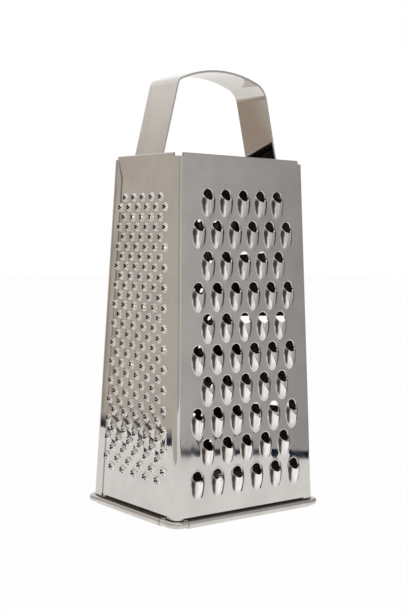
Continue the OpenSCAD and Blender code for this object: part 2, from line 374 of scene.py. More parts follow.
def mark_loop(form: Form, ring: dict[Point, Any]) -> None:
    """Mark the edges of a ring as a seam, which is where a punched shape joins its sheet."""
    for edge in form.edges:
        edge.seam = edge.verts[0] in ring and edge.verts[1] in ring


def set_in(form: Form, mesh: bpy.types.Mesh, move: Matrix) -> None:
    """Add a copy of a mesh to a form at a place.

    Args:
        form: Form that takes the copy.
        mesh: The mesh.
        move: Where the copy goes.
    """
    count = len(form.verts)
    form.from_mesh(mesh)
    form.verts.ensure_lookup_table()
    bmesh.ops.transform(form, matrix=move, verts=form.verts[count:])


@dataclass(frozen=True)
class Drop:
    """A punched drop: a round opening and, below it, a scoop whose lip stands out as the cutting edge.

    The rings, the settling and the burr's reach are shares of the way out from the opening to the flat
    sheet, the scoring with its painted dark reflection is a share of the flank's radius, and the crown, where
    the painted highlight is full, is a share of the height.
    """

    name: str
    hole: float
    width: float
    height: float
    length: float
    segments: int
    rings: tuple[float, ...]
    fillet: float
    burr: float
    margin: float = 0.7
    foot_margins: float = 1.6
    settle: tuple[float, float] = (0.85, 0.15)
    burr_reach: float = 0.12
    scored_and_shaded: tuple[float, float] = (0.44, 0.56)
    crown: float = 0.6

    def height_at(self, u: float, v: float) -> float:
        """Height of the scoop over the sheet.

        Args:
            u: Place across, from the opening's middle.
            v: Place up, from the opening's middle.

        Returns:
            Height in millimetres, below zero where the scoop has ended.
        """
        radius = arc_radius(self.width / 2, self.height)
        below = -(v + self.hole / 2)
        if below > 0:
            side = arc_radius(self.length, self.height)
            return self.height - side + dome(side, below) - radius + dome(radius, u)
        return self.height - radius + dome(radius, math.hypot(u, below))

    def build(self) -> bpy.types.Mesh:
        """Draw the skin round one opening, ring by ring, out to a loop that lies flat in the sheet.

        Returns:
            The skin, with its outer loop marked.
        """
        form = bmesh.new()
        for name in (SHEARED_AND_SHADED, DRAWN_HIGHLIGHT):
            form.verts.layers.float.new(name)
        scored_and_shaded, drawn = (form.verts.layers.float[name] for name in (SHEARED_AND_SHADED, DRAWN_HIGHLIGHT))
        bmesh.ops.create_circle(form, segments=self.segments, radius=self.hole / 2)
        ring = {vert: math.atan2(vert.co.y, vert.co.x) for vert in form.verts}
        self.place(ring, 0.0)
        for share in self.rings:
            ring = next_ring(form, ring)
            self.place(ring, share)
            for vert in ring:
                vert[scored_and_shaded] = self.scored_and_shaded_at(vert.co.x, vert.co.y)
        # the crown of the scoop takes the painted highlight
        for vert in form.verts:
            vert[drawn] = self.drawn_highlight_at(vert.co.x, vert.co.y)
        mark_loop(form, ring)
        return written(form, self.name)

    def scored_and_shaded_at(self, u: float, v: float) -> float:
        """Share of the punch's scoring, and of the painted dark reflection on it, at a place: full on the
        steep flanks beside the cutting edge.

        Args:
            u: Place across, from the opening's middle.
            v: Place up, from the opening's middle.

        Returns:
            The share, from 0 to 1.
        """
        if v > -self.hole / 4 or self.height_at(u, v) < 0:
            return 0.0
        radius = arc_radius(self.width / 2, self.height)
        return eased((abs(u) / radius - self.scored_and_shaded[0]) / (self.scored_and_shaded[1] - self.scored_and_shaded[0]))

    def drawn_highlight_at(self, u: float, v: float) -> float:
        """Share of the stretch, and of the painted highlight on it, at a place: full on the crown of the
        scoop.
        """
        return eased(self.height_at(u, v) / (self.crown * self.height)) if v < -self.hole / 4 else 0.0

    def place(self, ring: dict[Point, float], share: float) -> None:
        """Set one ring of the skin between the opening and the flat loop.

        Args:
            ring: The ring's points and the angle that each stands at.
            share: Way out from the opening, from 0 to 1.
        """
        half = self.hole / 2
        for vert, turn in ring.items():
            c, s = math.cos(turn), math.sin(turn)
            reach = self.hole + self.margin if s > 0 else self.length + self.foot_margins * self.margin
            u = (1 - share) * half * c + share * (self.width / 2 + self.margin) * c
            v = (1 - share) * half * s + share * (reach * s - half)
            settled = eased((share - self.settle[0]) / self.settle[1])
            lift = soft_rise(self.height_at(u, v), self.fillet) * (1 - settled)
            # the burr stands full along the upper edge of the opening and runs out low on its sides
            lift += self.burr * (1 - eased(share / self.burr_reach)) * eased(s + 0.5)
            vert.co = (u, v, lift)


@dataclass(frozen=True)
class Star:
    """A punched star: the sheet burst outward round a square opening on its corner, into four torn petals."""

    name: str = "star"
    opening: float = 3.6
    reach: float = 2.75
    draw: float = 1.15
    tear: float = 0.2
    tooth: float = 1.68

    @property
    def edge(self) -> float:
        """Way out from the middle to the middle of the opening's side."""
        return self.opening / 2 / math.sqrt(2)

    def build(self) -> bpy.types.Mesh:
        """Draw the skin round one opening, drawn up between the four tears at its corners.

        Returns:
            The skin, with its outer loop marked.
        """
        form = bmesh.new()
        drawn = form.verts.layers.float.new(DRAWN_HIGHLIGHT)
        bmesh.ops.create_circle(form, segments=8, radius=self.opening / 2)
        ring = {vert: math.atan2(vert.co.y, vert.co.x) for vert in form.verts}
        # each step gives the way out and the height at a tear, then at a petal's middle
        steps = (
            ((self.opening / 2, self.tear), (self.edge + 0.1, self.draw)),
            ((self.opening / 2 + 0.4, self.tear / 2), (self.reach - 0.5, 0.3 * self.draw)),
            ((self.reach, 0.0), (self.reach, 0.0)),
        )
        for number, step in enumerate(steps):
            if number:
                ring = next_ring(form, ring)
            for vert, turn in ring.items():
                out, up = step[round(turn / (math.pi / 4)) % 2]
                vert.co = (out * math.cos(turn), out * math.sin(turn), up)
                # the sheet drawn up round the opening takes the painted highlight
                vert[drawn] = float(up > 0)
        mark_loop(form, ring)
        return written(form, self.name)

    def teeth(self) -> bpy.types.Mesh:
        """Draw the four petals, each a bent triangle that thins to its point.

        Returns:
            The closed petals of one star.
        """
        side = self.opening / math.sqrt(2)
        # each step gives the way out, the height, the width and the thickness there
        steps = (
            (self.edge + 0.3, 0.0, side, 0.5),
            (self.edge + 0.2, self.tear + 0.15, side, 0.5),
            (self.edge, 0.6 * self.tooth, 0.66 * side, 0.32),
            (self.edge + 0.05, self.tooth, 0.05 * side, 0.08),
        )
        petal = bmesh.new()
        drawn = petal.verts.layers.float.new(DRAWN_HIGHLIGHT)
        bmesh.ops.create_circle(petal, cap_ends=True, segments=4, radius=math.sqrt(0.5))
        bmesh.ops.rotate(petal, verts=petal.verts, matrix=Matrix.Rotation(math.pi / 4, 3, "Z"))
        ring = {vert: vert.co.copy() for vert in petal.verts}
        for number, (out, up, wide, thick) in enumerate(steps):
            if number:
                ring = next_ring(petal, ring)
            for vert, corner in ring.items():
                vert.co = (out + corner.x * thick, corner.y * wide, up)
                # the petals take the painted highlight all over
                vert[drawn] = 1.0
        bmesh.ops.contextual_create(petal, geom=list(ring))
        bmesh.ops.recalc_face_normals(petal, faces=petal.faces)
        # the side that looks at the opening is the sheet's unpolished inside, painted darker as painted shade
        for face in petal.faces:
            face.material_index = int(face.normal.x < -0.7)
        one = written(petal, self.name + "_petal")
        form = bmesh.new()
        for quarter in range(4):
            set_in(form, one, Matrix.Rotation(math.radians(45 + 90 * quarter), 4, "Z"))
        return written(form, self.name + "_teeth")


@dataclass(frozen=True)
class Blade:
    """A slicing slot and the raised blade below it, whose edge stands out of the sheet in an arc."""

    name: str = "blade"
    length: float = 44.0
    opening: float = 4.5
    height: float = 2.4
    rise: float = 9.0
    columns: int = 36
    levels: tuple[float, ...] = (-10.6, -9.6, -7.6, -6.0, -4.4, -3.0, -1.6, -0.6, 0.0, 4.5, 5.7)
    margin: float = 1.6
    bow: float = 0.5
    fillet: float = 0.4
    foot: float = 9.6
    foot_ease: float = 1.2
    end_ease: float = 2.0

    def build(self) -> bpy.types.Mesh:
        """Draw the skin round one slot on a grid that has the slot's own edges in it.

        Returns:
            The skin, with its outer loop marked.
        """
        rows = len(self.levels) - 1
        form = bmesh.new()
        bmesh.ops.create_grid(form, x_segments=self.columns, y_segments=rows, size=0.5)
        for vert in form.verts:
            row = round((vert.co.y + 0.5) * rows)
            column = round((vert.co.x + 0.5) * self.columns)
            end = (column == self.columns) - (column == 0)
            share = min(max(column - 1, 0), self.columns - 2) / (self.columns - 2)
            u = (share - 0.5) * self.length + end * self.margin
            v = self.levels[row]
            lift = 0 if end or row in (0, rows - 1, rows) else self.height_at(u, v)
            # the outer loop is bowed a little, because a straight run of points fills badly
            rim = (row == rows) - (row == 0)
            v += rim * self.bow * (1 - (2 * u / (self.length + 2 * self.margin)) ** 2)
            u += end * self.bow * (1 - (2 * row / rows - 1) ** 2)
            vert.co = (u, v, lift)
        inside = [f for f in form.faces if self.in_slot(f.calc_center_median())]
        bmesh.ops.delete(form, geom=inside, context="FACES")
        # the outer loop lies past the middle of the outermost cells, and the slot's own edges don't
        side = (self.length + self.margin) / 2
        low, high = sum(self.levels[:2]) / 2, sum(self.levels[-2:]) / 2
        for edge in form.edges:
            middle = (edge.verts[0].co + edge.verts[1].co) / 2
            edge.seam = edge.is_boundary and (abs(middle.x) > side or not low < middle.y < high)
        return written(form, self.name)

    def in_slot(self, spot: Vector) -> bool:
        """Tell whether a place lies in the slot's opening."""
        return 0 < spot.y < self.opening and abs(spot.x) < self.length / 2

    def height_at(self, u: float, v: float) -> float:
        """Height of the blade over the sheet.

        Args:
            u: Place across, from the slot's middle.
            v: Place up, from the slot's lower edge.

        Returns:
            Height in millimetres, which runs out at the blade's ends and foot.
        """
        across = arc_radius(self.length / 2, self.height)
        side = arc_radius(self.rise, self.height)
        raw = self.height - across + dome(across, u) - side + dome(side, v)
        ends = eased((self.length / 2 - abs(u)) / self.end_ease)
        return soft_rise(raw, self.fillet) * ends * eased((v + self.foot) / self.foot_ease)


@dataclass(frozen=True)
class WeldMark:
    """The shallow round mark that a spot weld leaves in the outside of the sheet."""

    name: str = "weld_mark"
    width: float = 3.4
    depth: float = 0.14
    floor_share: float = 0.32
    # each step of the rim gives the way out and the depth, as shares of those of the dish's floor
    rim: tuple[tuple[float, float], ...] = ((1.35, 0.75), (1.6, 0.12), (1.85, 0.0))

    def build(self) -> bpy.types.Mesh:
        """Draw a shallow dish with a soft rim.

        Returns:
            The skin, with its outer loop marked.
        """
        form = bmesh.new()
        bmesh.ops.create_circle(form, cap_ends=True, segments=20, radius=self.width * self.floor_share)
        ring = {vert: vert.co.copy() for vert in form.verts}
        for vert in ring:
            vert.co.z = -self.depth
        for share, sunk in self.rim:
            ring = next_ring(form, ring)
            for vert, first in ring.items():
                vert.co = (first.x * share, first.y * share, -self.depth * sunk)
        mark_loop(form, ring)
        return written(form, self.name)


@dataclass(frozen=True)
class Rows:
    """Staggered rows of one punched shape on a face. Every other row has one more.

    The spans are the shares of the face's width that the shorter rows take, at the foot and at the top.
    """

    top_gap: float
    foot_gap: float
    pitch: float
    columns: int
    spans: tuple[float, float]
    side: int

    def places(self) -> list[Matrix]:
        """Work out where each shape stands.

        Returns:
            Places in the face's own frame, in millimetres.
        """
        found = []
        top = BODY.height - self.top_gap
        for row in range(math.floor((top - self.foot_gap) / self.pitch + TINY) + 1):
            z = top - row * self.pitch
            count = self.columns + row % 2
            share = self.spans[0] + (self.spans[1] - self.spans[0]) * BODY.rise(z)
            pitch = share * BODY.over(self.side, z) / self.columns
            for column in range(count):
                across = (column - (count - 1) / 2) * pitch
                found.append(Matrix.Translation((across, BODY.along(z, 1 - self.side), 0)))
        return found


def fan_normals(mesh: bpy.types.Mesh, sharp_deg: float) -> None:
    """Shade a mesh smoothly, with each face counting by its area, so that flat sheet stays flat to its edges.

    Args:
        mesh: The mesh.
        sharp_deg: Angle between two faces past which their edge stays sharp.
    """
    mesh.shade_smooth()
    limit = math.cos(math.radians(sharp_deg))
    facing = [poly.normal.copy() for poly in mesh.polygons]
    weight = [poly.area for poly in mesh.polygons]
    round_vert: list[list[int]] = [[] for _ in mesh.vertices]
    for poly in mesh.polygons:
        for vert in poly.vertices:
            round_vert[vert].append(poly.index)
    normals = [Vector((0, 0, 1))] * len(mesh.loops)
    for poly in mesh.polygons:
        own = facing[poly.index]
        for loop in poly.loop_indices:
            total = Vector((0, 0, 0))
            for other in round_vert[mesh.loops[loop].vertex_index]:
                if facing[other].dot(own) > limit:
                    total += facing[other] * weight[other]
            normals[loop] = total.normalized() if total.length > 0 else own
    mesh.normals_split_custom_set(normals)


def dressed(mesh: bpy.types.Mesh, node: str, sharp_deg: float = 30.0) -> bpy.types.Object:
    """Turn a finished mesh into the piece that stands for a node.

    Args:
        mesh: The mesh, in metres, with its materials.
        node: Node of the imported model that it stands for.
        sharp_deg: Angle past which an edge stays sharp.

    Returns:
        The piece, riding on the root body.
    """
    fan_normals(mesh, sharp_deg)
    piece = placed(mesh.name, mesh)
    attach(piece, "root")
    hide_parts(node)
    log.info("%s: %d faces", piece.name, len(mesh.polygons))
    return piece


@dataclass
class NodePiece:
    """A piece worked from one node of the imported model: a merged, smooth copy that stands in its place."""

    node: str
    slot: Slot
    finish: StainlessSteel
    edge_mm: float = 0.0
    edge_deg: float = 60.0
    flat_deg: float = 0.4

    def build(self) -> bpy.types.Object:
        """Copy the node's mesh, merge its loose triangles, round its long edges and smooth what is round.

        Returns:
            The piece.
        """
        form = bmesh.new()
        form.from_mesh(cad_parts[self.node].data)
        bmesh.ops.remove_doubles(form, verts=form.verts, dist=SAME * MM)
        if self.edge_mm:
            flat, sharp = math.radians(self.flat_deg), math.radians(self.edge_deg)
            bmesh.ops.dissolve_limit(form, angle_limit=flat, verts=form.verts, edges=form.edges)
            long_edges = [e for e in form.edges if e.is_manifold and e.calc_face_angle() > sharp]
            bmesh.ops.bevel(
                form,
                geom=long_edges,
                affect="EDGES",
                offset=self.edge_mm * MM,
                segments=3,
                profile=0.5,
                material=-1,
                clamp_overlap=True,
            )
        mesh = written(form, self.node + "_steel")
        mesh.materials.append(self.finish.build())
        return dressed(mesh, self.node)


@dataclass
class Punching:
    """One kind of punched shape and all its places on a face."""

    skin: bpy.types.Mesh
    places: list[Matrix]
    raised: bpy.types.Mesh | None = None


@dataclass
class Shell:
    """One bent sheet blank: a side face, a wide face and a flange past it, with its hems and rolled rim.

    It is drawn as the back and right of the body, and turned half round for the other one. The steps are
    the facets that each bend, hem and roll is drawn with.
    """

    node: str
    turn_deg: float
    finish: StainlessSteel
    inside: StainlessSteel
    wide: list[Punching] = field(default_factory=list)
    narrow: list[Punching] = field(default_factory=list)
    bend_steps: int = 12
    hem_steps: int = 10
    roll_steps: int = 26

    def build(self) -> bpy.types.Object:
        """Bend the skin, punch both faces, give the sheet its thickness and dress it.

        Returns:
            The piece.
        """
        form = bmesh.new()
        for name in (SHEARED_AND_SHADED, DRAWN_HIGHLIGHT):
            form.verts.layers.float.new(name)
        self.bend_walls(form)
        self.trim_corners(form)
        faces = ((BODY.face(180, 1), 0, self.wide), (BODY.face(90, 0), 1, self.narrow))
        for place, side, _ in faces:
            self.fold_hem(form, place, side)
        for place, side, _ in faces:
            self.roll_rim(form, place, side)
        for place, _, punchings in faces:
            self.punch(form, place, punchings)
        self.thicken(form)
        for place, _, punchings in faces:
            for punching in punchings:
                for spot in punching.places if punching.raised else ():
                    set_in(form, punching.raised, place @ spot)
        turn = Matrix.Rotation(math.radians(self.turn_deg), 4, "Z")
        bmesh.ops.transform(form, matrix=turn @ Matrix.Scale(MM, 4), verts=form.verts)
        mesh = written(form, self.node + "_sheet")
        mesh.materials.append(self.finish.build())
        mesh.materials.append(self.inside.build())
        return dressed(mesh, self.node)

    def bend_walls(self, form: Form) -> None:
        """Draw the outline at the foot, from the side face's free edge to the flange's, and pull it up.

        Args:
            form: The skin, which is still empty.
        """
        w, d, r = BODY.foot[0] / 2, BODY.foot[1] / 2, BODY.bend
        far = -w - BODY.lap + r
        tip = form.verts.new((w, -(d - r - BODY.lap_gap), BODY.wall_foot))
        # each bend gives the point where it begins and the middle that it turns round
        for corner, middle in (((w, d - r), (w - r, d - r)), ((far, d), (far, d - r))):
            tip = bmesh.ops.extrude_vert_indiv(form, verts=[tip])["verts"][0]
            tip.co.xy = corner
            spun = bmesh.ops.spin(
                form,
                geom=[tip],
                cent=(*middle, BODY.wall_foot),
                axis=(0, 0, 1),
                angle=math.pi / 2,
                steps=self.bend_steps,
                use_merge=False,
            )
            tip = new_verts(spun["geom_last"])[0]
        bmesh.ops.extrude_vert_indiv(form, verts=[tip])["verts"][0].co.y -= BODY.flange
        lifted = new_verts(bmesh.ops.extrude_edge_only(form, edges=form.edges[:])["geom"])
        inward = [(BODY.foot[side] - BODY.over(side, BODY.wall_top)) / 2 for side in (0, 1)]
        for vert in lifted:
            vert.co.x -= math.copysign(inward[0], vert.co.x)
            vert.co.y -= math.copysign(inward[1], vert.co.y)
            vert.co.z = BODY.wall_top

    def cut(self, form: Form, point: Vector, across: Vector, test: Callable[[Vector], bool]) -> None:
        """Cut some faces along a plane, and leave both halves.

        Args:
            form: The skin.
            point: A point of the plane.
            across: The plane's normal.
            test: What a face's middle has to pass for it to be cut.
        """
        faces = [f for f in form.faces if test(f.calc_center_median())]
        parts = list(dict.fromkeys(part for f in faces for part in (*f.edges, *f.verts)))
        bmesh.ops.bisect_plane(form, geom=faces + parts, plane_co=point, plane_no=across, dist=1e-4)

    def trim_corners(self, form: Form) -> None:
        """Taper the flange's top end, and end the sheet over the bare wire at the corners of the foot.

        Args:
            form: The skin.
        """
        upright = Vector((0, 0, 1))
        # the middle of the flange lies in front of this, and those of the bend's facets behind it
        before_bend = BODY.foot[1] / 2 - BODY.bend - 0.1
        self.cut(
            form,
            Vector((0, 0, BODY.wall_top - BODY.flange_taper)),
            upright,
            lambda middle: middle.x < -BODY.top[0] / 2 and middle.y < before_bend,
        )
        top = [v for v in form.verts if v.co.z > BODY.wall_top - NEAR and v.co.x < 0]
        tip = min(top, key=lambda v: v.co.y)
        tip.co.y = BODY.over(1, BODY.wall_top) / 2 - BODY.bend - BODY.flange_top
        self.cut(form, Vector((0, 0, BODY.corner_foot)), upright, lambda middle: True)
        ends = [BODY.foot[side] / 2 - BODY.roll_inset[side] for side in (0, 1)]
        for side, across in ((0, Vector((1, 0, 0))), (1, Vector((0, 1, 0)))):
            for sign in (-1, 1):
                self.cut(form, across * sign * ends[side], across, lambda middle: middle.z < BODY.corner_foot)
        middles = {f: f.calc_center_median() for f in form.faces}
        gone = [
            f
            for f, spot in middles.items()
            if spot.z < BODY.corner_foot and abs(spot.x) > ends[0] and abs(spot.y) > ends[1]
        ]
        bmesh.ops.delete(form, geom=gone, context="FACES")

    def fold_hem(self, form: Form, place: Matrix, side: int) -> None:
        """Carry a face's top edge up and fold it over and down inside.

        Args:
            form: The skin.
            place: Frame of the face.
            side: Which size the edge runs along, width (0) or depth (1).
        """
        end = BODY.top[side] / 2 - BODY.hem_inset
        reach = end + NEAR
        turn = place.to_3x3()
        axis = turn @ Vector((1, 0, 0))
        back = place.inverted()
        for sign in (-1, 1):
            self.cut(
                form,
                axis * sign * end,
                axis,
                lambda middle: abs((back @ middle).z) < ON_FACE and middle.z > BODY.corner_foot,
            )
        edges = [
            e
            for e in form.edges
            if e.is_boundary
            and all(v.co.z > BODY.wall_top - NEAR for v in e.verts)
            and all(abs(spot.z) < ON_FACE and abs(spot.x) < reach for spot in (back @ v.co for v in e.verts))
        ]
        fold = BODY.along(BODY.height, 1 - side) - BODY.hem_radius - BODY.hem_play
        made = bmesh.ops.extrude_edge_only(form, edges=edges)["geom"]
        for vert in new_verts(made):
            vert.co = place @ Vector(((back @ vert.co).x, fold, 0))
        spun = bmesh.ops.spin(
            form,
            geom=[part for part in made if not isinstance(part, bmesh.types.BMFace)],
            cent=place @ Vector((0, fold, -BODY.hem_radius)),
            axis=-axis,
            angle=math.pi,
            steps=self.hem_steps,
            use_merge=False,
        )
        last = [part for part in spun["geom_last"] if isinstance(part, bmesh.types.BMEdge)]
        leaf = new_verts(bmesh.ops.extrude_edge_only(form, edges=last)["geom"])
        bmesh.ops.translate(form, vec=turn @ Vector((0, BODY.hem_radius - BODY.hem, 0)), verts=leaf)

    def roll_rim(self, form: Form, place: Matrix, side: int) -> None:
        """Roll a face's foot outward and up round the wire.

        Args:
            form: The skin.
            place: Frame of the face.
            side: Which size the foot runs along, width (0) or depth (1).
        """
        axis = place.to_3x3() @ Vector((1, 0, 0))
        out = (place.to_3x3() @ Vector((0, 0, 1))).xy.to_3d().normalized()
        half = BODY.foot[1 - side] / 2
        edges = [
            e
            for e in form.edges
            if e.is_boundary
            and all(v.co.z < BODY.wall_foot + NEAR and v.co.dot(out) > half - BODY.sheet for v in e.verts)
        ]
        bmesh.ops.spin(
            form,
            geom=edges + list(dict.fromkeys(v for e in edges for v in e.verts)),
            cent=out * (half + BODY.roll_radius) + Vector((0, 0, BODY.wall_foot)),
            axis=-axis,
            angle=math.radians(BODY.roll_turn_deg),
            steps=self.roll_steps,
            use_merge=False,
        )

    def punch(self, form: Form, place: Matrix, punchings: list[Punching]) -> None:
        """Swap a face's flat for one that carries the punched shapes.

        Args:
            form: The skin.
            place: Frame of the face.
            punchings: What is punched into it.
        """
        back = place.inverted()
        flat = [
            f
            for f in form.faces
            if all(abs((back @ v.co).z) < SAME for v in f.verts)
            and BODY.corner_foot < f.calc_center_median().z < BODY.wall_top
        ]
        among = set(flat)
        rim = [e for e in form.edges if sum(f in among for f in e.link_faces) == 1]
        inner = [e for e in form.edges if sum(f in among for f in e.link_faces) == 2]
        bmesh.ops.delete(form, geom=flat, context="FACES_ONLY")
        bmesh.ops.delete(form, geom=inner, context="EDGES")
        for punching in punchings:
            for spot in punching.places:
                set_in(form, punching.skin, place @ spot)
        rim += [e for e in form.edges if e.seam]
        facing = place.to_3x3() @ Vector((0, 0, 1))
        bmesh.ops.triangle_fill(form, use_beauty=True, use_dissolve=False, edges=rim, normal=facing)
        for edge in form.edges:
            edge.seam = False

    def thicken(self, form: Form) -> None:
        """Give the skin its thickness inward, mark the inner walls and flatten the underside of the rim.

        Args:
            form: The skin, which becomes a closed sheet.
        """
        bmesh.ops.delete(form, geom=[v for v in form.verts if not v.link_faces], context="VERTS")
        bmesh.ops.recalc_face_normals(form, faces=form.faces)
        # the largest facet of the wide wall tells which way the skin looks
        wall = max(form.faces, key=lambda f: f.calc_area() * (abs(f.normal.y) > 0.9))
        if wall.normal.y < 0:
            bmesh.ops.reverse_faces(form, faces=form.faces)
        skin = set(form.verts)
        bmesh.ops.solidify(form, geom=form.faces[:], thickness=BODY.sheet)
        for face in form.faces:
            middle = face.calc_center_median()
            past = max(abs(middle.x) - BODY.foot[0] / 2, abs(middle.y) - BODY.foot[1] / 2)
            rolled = middle.z < BODY.corner_foot and past > 0
            # the inner walls take the inside finish, which is painted darker as painted shade
            face.material_index = int(not rolled and not any(vert in skin for vert in face.verts))
        for vert in form.verts:
            vert.co.z = max(vert.co.z, 0.0)


@dataclass(frozen=True)
class Card:
    """An upright grey card that only mirrors see. Its sizes and places are in metres.

    It may fade to a second grey along one axis, between the two places that the fade gives.
    """

    name: str
    foot: tuple[float, float]
    turn_deg: float
    size: tuple[float, float]
    lift: float
    grey: str
    far_grey: str = ""
    axis: str = "Z"
    fade: tuple[float, float] = (0.0, 1.0)

    def glow(self) -> bpy.types.Material:
        """Make the card's even or fading glow.

        Returns:
            An emission material.
        """
        material = bpy.data.materials.new(self.name)
        tree = bare_tree(material)
        colour: Any = linear(self.grey)
        if self.far_grey:
            place = add_node(tree, "ShaderNodeTexCoord").outputs["Object"]
            along = add_node(tree, "ShaderNodeSeparateXYZ", {0: place}).outputs[self.axis]
            start, end = self.fade
            share = add_node(tree, "ShaderNodeMapRange", {"Value": along, "From Min": start, "From Max": end})
            colour = add_node(
                tree,
                "ShaderNodeMix",
                {0: share.outputs[0], 6: linear(self.grey), 7: linear(self.far_grey)},
                data_type="RGBA",
            ).outputs[2]
        shine = add_node(tree, "ShaderNodeEmission", {"Color": colour, "Strength": 1.0})
        add_node(tree, "ShaderNodeOutputMaterial", {"Surface": shine.outputs[0]})
        return material


@dataclass
class Studio:
    """Pale floor, soft lamps, cards that the steel mirrors, and the camera.

    Sizes and places are in metres, apart from the camera's place and the fields that end in mm.
    """

    floor_size: float = 6.0
    floor_colour: str = "#f4f3f1"
    floor_glow: float = 0.96
    # a plate inside the foot, darker than the floor as painted shade
    inside_floor: tuple[float, float] = (0.094, 0.075)
    inside_shade_colour: str = "#77736f"
    inside_lift_mm: float = 0.1
    world_light: float = 0.6
    lamp_aim: tuple[float, float, float] = (0.0, 0.0, 0.1)
    camera_at: tuple[float, float, float] = (-383.43, -484.43, 149.15)
    azimuth_deg: float = -38.238
    elevation_deg: float = 3.516
    roll_deg: float = 1.004
    focal_mm: float = 65.01
    sensor_mm: float = 36.0
    clip_end: float = 20.0

    def build(self) -> None:
        """Set up the whole studio."""
        self.floor()
        self.world()
        self.lamps()
        self.cards()
        self.camera()

    def plate(self, name: str, size: tuple[float, float], place: Matrix) -> bpy.types.Object:
        """Make a flat stage piece.

        Args:
            name: Name of the object.
            size: Width and height in metres.
            place: Where it stands.

        Returns:
            The piece.
        """
        form = bmesh.new()
        bmesh.ops.create_grid(form, x_segments=1, y_segments=1, size=0.5)
        bmesh.ops.scale(form, vec=(size[0], size[1], 1), verts=form.verts)
        bmesh.ops.transform(form, matrix=place, verts=form.verts)
        plate = placed(name, written(form, name))
        return plate

    def seen_directly(self, tree: bpy.types.NodeTree) -> bpy.types.NodeSocket:
        """Tell rays from the camera, a mirror or glass from those that light the object.

        Args:
            tree: Node tree that takes the test.

        Returns:
            A socket that is 1 for what is seen and 0 for light.
        """
        paths = add_node(tree, "ShaderNodeLightPath").outputs
        seen = paths["Is Camera Ray"]
        for other in ("Is Glossy Ray", "Is Transmission Ray"):
            either = add_node(tree, "ShaderNodeMath", {0: seen, 1: paths[other]}, operation="MAXIMUM")
            seen = either.outputs[0]
        return seen

    def floor(self) -> None:
        """Pale floor that shows white and keeps a faint shadow, with a darker plate inside the foot as
        painted shade.

        The plate keeps the floor from lighting the inside, which shows black through the openings.
        """
        floor = self.plate("floor", (self.floor_size, self.floor_size), Matrix.Identity(4))
        material = bpy.data.materials.new("pale_floor")
        tree = bare_tree(material)
        matt = add_node(tree, "ShaderNodeBsdfDiffuse", {"Color": linear(self.floor_colour)})
        glow = add_node(tree, "ShaderNodeEmission", {"Color": (1, 1, 1, 1), "Strength": 1.0})
        lit = add_node(
            tree, "ShaderNodeMixShader", {0: self.floor_glow, 1: matt.outputs[0], 2: glow.outputs[0]}
        )
        seen = add_node(
            tree, "ShaderNodeMixShader", {0: self.seen_directly(tree), 1: matt.outputs[0], 2: lit.outputs[0]}
        )
        add_node(tree, "ShaderNodeOutputMaterial", {"Surface": seen.outputs[0]})
        floor.data.materials.append(material)
        # the plate under the foot is darker than the floor, as painted shade
        lift = Matrix.Translation((0, 0, self.inside_lift_mm * MM))
        shade = self.plate("floor_inside_painted_shade", self.inside_floor, lift)
        shade_finish = bpy.data.materials.new("floor_inside_painted_shade")
        tree = bare_tree(shade_finish)
        matt = add_node(tree, "ShaderNodeBsdfDiffuse", {"Color": linear(self.inside_shade_colour)})
        add_node(tree, "ShaderNodeOutputMaterial", {"Surface": matt.outputs[0]})
        shade.data.materials.append(shade_finish)

    def world(self) -> None:
        """White backdrop where it is seen, and a plain grey light on the object."""
        world = bpy.data.worlds.new("studio")
        bpy.context.scene.world = world
        tree = bare_tree(world)
        dim = add_node(tree, "ShaderNodeBackground", {"Color": (1, 1, 1, 1), "Strength": self.world_light})
        white = add_node(tree, "ShaderNodeBackground", {"Color": (1, 1, 1, 1), "Strength": 1.0})
        mix = add_node(
            tree, "ShaderNodeMixShader", {0: self.seen_directly(tree), 1: dim.outputs[0], 2: white.outputs[0]}
        )
        add_node(tree, "ShaderNodeOutputWorld", {"Surface": mix.outputs[0]})

    def lamps(self) -> None:
        """Two large soft lamps, one on each side of the camera."""
        for name, at, power, size in (
            ("lamp_left", (-1.4, -0.9, 1.3), 12.0, 1.0),
            ("lamp_right", (1.1, -1.3, 1.5), 10.0, 1.2),
        ):
            data = bpy.data.lights.new(name, "AREA")
            data.energy = power
            data.size = size
            lamp = placed(name, data)
            lamp.location = at
            lamp.rotation_euler = (Vector(self.lamp_aim) - Vector(at)).to_track_quat("-Z", "Y").to_euler()

    def cards(self) -> None:
        """Grey cards that only mirrors see.

        The front and the left face each reflect a card that fades, with a dark band along its foot. One
        narrow card serves the flange and the strap, and a wide one stands behind the camera.
        """
        front, left, left_edge = (0.172, -0.244), (-0.21, 0.233), (-0.21, 0.27)
        front_turn, left_turn = 67.0, 270.0
        # heights of the dark bands
        front_band, left_band = 0.006, 0.014
        wall, pale, band = (0.9, 0.9), "#d0c9c1", (0.005, left_band)
        for card in (
            Card("card_front", front, front_turn, wall, front_band, "#c9c8c8", "#aeabab", "X", (0.15, 0.2)),
            Card("card_front_edge", front, front_turn, (0.9, front_band), 0.0, "#1b2238"),
            Card("card_left", left, left_turn, wall, left_band, pale, "#ffffff", "Z", (0.28, 0.42)),
            Card("card_left_edge", left_edge, left_turn, (0.2, left_band), 0.0, "#343844", pale, "Z", band),
            Card("card_flange", (-0.208, 0.3035), left_turn, (0.053, 0.25), left_band, "#aca093"),
            Card("card_camera", (-1.0, -0.8), 308.0, (2.6, 1.0), 0.0, "#bdb9b5"),
        ):
            place = (
                Matrix.Translation((*card.foot, card.lift + card.size[1] / 2))
                @ Matrix.Rotation(math.radians(card.turn_deg), 4, "Z")
                @ Matrix.Rotation(math.radians(90), 4, "X")
            )
            plate = self.plate(card.name, card.size, place)
            plate.data.materials.append(card.glow())
            plate.visible_camera = False
            plate.visible_diffuse = False
            plate.visible_shadow = False
            plate.visible_transmission = False

